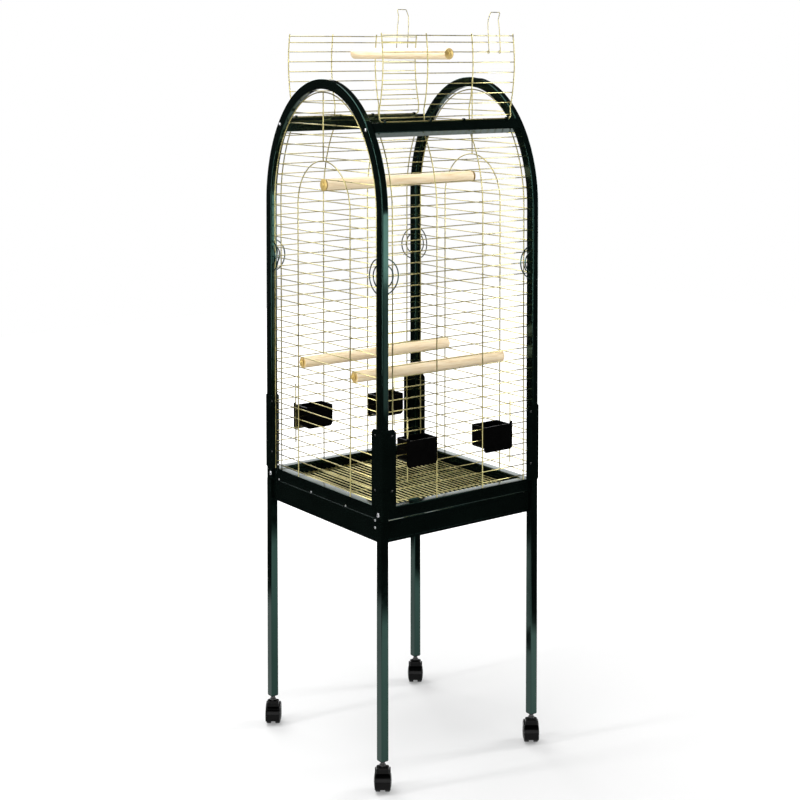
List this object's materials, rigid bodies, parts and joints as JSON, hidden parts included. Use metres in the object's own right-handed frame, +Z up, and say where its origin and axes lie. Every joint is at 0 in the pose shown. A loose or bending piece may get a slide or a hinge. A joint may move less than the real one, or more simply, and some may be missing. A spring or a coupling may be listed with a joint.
{
  "type": "free-standing parrot cage with arched frame",
  "caption": "Parrot cage on a square-tube stand with swivel casters: arched frame, welded wire panels, open roof flaps, wooden perches, cups, grate and drawer.",
  "frame": {"origin": "on the floor, in the middle of the outline seen from above", "axes": "+Z up, -Y the front with the drawer, +X to the right seen from the front"},
  "size_m": [0.5232, 0.5528, 1.8438],
  "materials": {
    "enamel": "gloss green-black enamel on steel tube and sheet",
    "wire": "bright brass-coloured wire, welded at the crossings",
    "plastic": "black moulded plastic, lightly satin",
    "wood": "pale smooth dowel",
    "steel": "plain bright steel"
  },
  "bodies": {
    "cage": {"base_ring": "enamel", "skirt_left": "enamel", "skirt_right": "enamel", "skirt_back": "enamel", "rim_clip": "enamel", "arch_left": "enamel", "arch_right": "enamel", "cross_bar_front": "enamel", "cross_bar_back": "enamel", "leg_front_left": "enamel", "leg_front_right": "enamel", "leg_back_left": "enamel", "leg_back_right": "enamel", "corner_bracket_front_left": "enamel", "corner_bracket_front_right": "enamel", "corner_bracket_back_left": "enamel", "corner_bracket_back_right": "enamel", "panel_front": "wire", "panel_back": "wire", "panel_left": "wire", "panel_right": "wire", "perch_upper": "wood", "perch_front": "wood", "perch_back": "wood", "leg_plug_front_left": "plastic", "leg_plug_front_right": "plastic", "leg_plug_back_left": "plastic", "leg_plug_back_right": "plastic", "caster_stem_front_left": "steel", "caster_stem_front_right": "steel", "caster_stem_back_left": "steel", "caster_stem_back_right": "steel"},
    "drawer": {"drawer": "enamel"},
    "grate": {"grate": "wire"},
    "flap_front": {"roof_flap_front": "wire", "perch_top": "wood"},
    "flap_back": {"roof_flap_back": "wire"},
    "latch_front": {"latch_front": "wire"},
    "latch_back": {"latch_back": "wire"},
    "cup_front_left": {"cup_front_left": "plastic"},
    "cup_front_right": {"cup_front_right": "plastic"},
    "cup_back_left": {"cup_back_left": "plastic"},
    "cup_back_right": {"cup_back_right": "plastic"},
    "caster_front_left": {"caster_hood_front_left": "plastic", "caster_axle_front_left": "steel"},
    "wheel_front_left_a": {"caster_wheel_front_left_a": "plastic"},
    "wheel_front_left_b": {"caster_wheel_front_left_b": "plastic"},
    "caster_front_right": {"caster_hood_front_right": "plastic", "caster_axle_front_right": "steel"},
    "wheel_front_right_a": {"caster_wheel_front_right_a": "plastic"},
    "wheel_front_right_b": {"caster_wheel_front_right_b": "plastic"},
    "caster_back_left": {"caster_hood_back_left": "plastic", "caster_axle_back_left": "steel"},
    "wheel_back_left_a": {"caster_wheel_back_left_a": "plastic"},
    "wheel_back_left_b": {"caster_wheel_back_left_b": "plastic"},
    "caster_back_right": {"caster_hood_back_right": "plastic", "caster_axle_back_right": "steel"},
    "wheel_back_right_a": {"caster_wheel_back_right_a": "plastic"},
    "wheel_back_right_b": {"caster_wheel_back_right_b": "plastic"}
  },
  "joints": [
    {"name": "drawer_slide", "type": "slide", "parent": "cage", "child": "drawer", "axis": [0, -1, 0], "range_m": [0, 0.4]},
    {"name": "grate_lift", "type": "slide", "parent": "cage", "child": "grate", "axis": [0, 0, 1], "range_m": [0, 0.08]},
    {"name": "flap_front_hinge", "type": "hinge", "parent": "cage", "child": "flap_front", "pos_m": [-0.00837, -0.20189, 1.56685], "axis": [1, 0, 0], "range_deg": [0, 110]},
    {"name": "flap_back_hinge", "type": "hinge", "parent": "cage", "child": "flap_back", "pos_m": [-0.00837, 0.17944, 1.56685], "axis": [-1, 0, 0], "range_deg": [0, 110]},
    {"name": "latch_front_hinge", "type": "hinge", "parent": "flap_front", "child": "latch_front", "pos_m": [0.12963, -0.21137, 1.73094], "axis": [1, 0, 0], "range_deg": [0, 150]},
    {"name": "latch_back_hinge", "type": "hinge", "parent": "flap_back", "child": "latch_back", "pos_m": [0.14663, 0.18892, 1.73094], "axis": [-1, 0, 0], "range_deg": [0, 150]},
    {"name": "cup_front_left_slide", "type": "slide", "parent": "cage", "child": "cup_front_left", "axis": [0, -1, 0], "range_m": [0, 0.06]},
    {"name": "cup_front_right_slide", "type": "slide", "parent": "cage", "child": "cup_front_right", "axis": [0, -1, 0], "range_m": [0, 0.06]},
    {"name": "cup_back_left_slide", "type": "slide", "parent": "cage", "child": "cup_back_left", "axis": [0, 1, 0], "range_m": [0, 0.06]},
    {"name": "cup_back_right_slide", "type": "slide", "parent": "cage", "child": "cup_back_right", "axis": [0, 1, 0], "range_m": [0, 0.06]},
    {"name": "caster_front_left_swivel", "type": "hinge", "parent": "cage", "child": "caster_front_left", "pos_m": [-0.23737, -0.25272, 0.07], "axis": [0, 0, 1], "continuous": true},
    {"name": "wheel_front_left_a_spin", "type": "hinge", "parent": "caster_front_left", "child": "wheel_front_left_a", "pos_m": [-0.229, -0.2415, 0.025], "axis": [0.8018, -0.5976, 0], "continuous": true},
    {"name": "wheel_front_left_b_spin", "type": "hinge", "parent": "caster_front_left", "child": "wheel_front_left_b", "pos_m": [-0.229, -0.2415, 0.025], "axis": [0.8018, -0.5976, 0], "continuous": true},
    {"name": "caster_front_right_swivel", "type": "hinge", "parent": "cage", "child": "caster_front_right", "pos_m": [0.22063, -0.25272, 0.07], "axis": [0, 0, 1], "continuous": true},
    {"name": "wheel_front_right_a_spin", "type": "hinge", "parent": "caster_front_right", "child": "wheel_front_right_a", "pos_m": [0.229, -0.2415, 0.025], "axis": [0.8018, -0.5976, 0], "continuous": true},
    {"name": "wheel_front_right_b_spin", "type": "hinge", "parent": "caster_front_right", "child": "wheel_front_right_b", "pos_m": [0.229, -0.2415, 0.025], "axis": [0.8018, -0.5976, 0], "continuous": true},
    {"name": "caster_back_left_swivel", "type": "hinge", "parent": "cage", "child": "caster_back_left", "pos_m": [-0.23737, 0.23028, 0.07], "axis": [0, 0, 1], "continuous": true},
    {"name": "wheel_back_left_a_spin", "type": "hinge", "parent": "caster_back_left", "child": "wheel_back_left_a", "pos_m": [-0.229, 0.2415, 0.025], "axis": [0.8018, -0.5976, 0], "continuous": true},
    {"name": "wheel_back_left_b_spin", "type": "hinge", "parent": "caster_back_left", "child": "wheel_back_left_b", "pos_m": [-0.229, 0.2415, 0.025], "axis": [0.8018, -0.5976, 0], "continuous": true},
    {"name": "caster_back_right_swivel", "type": "hinge", "parent": "cage", "child": "caster_back_right", "pos_m": [0.22063, 0.23028, 0.07], "axis": [0, 0, 1], "continuous": true},
    {"name": "wheel_back_right_a_spin", "type": "hinge", "parent": "caster_back_right", "child": "wheel_back_right_a", "pos_m": [0.229, 0.2415, 0.025], "axis": [0.8018, -0.5976, 0], "continuous": true},
    {"name": "wheel_back_right_b_spin", "type": "hinge", "parent": "caster_back_right", "child": "wheel_back_right_b", "pos_m": [0.229, 0.2415, 0.025], "axis": [0.8018, -0.5976, 0], "continuous": true}
  ]
}
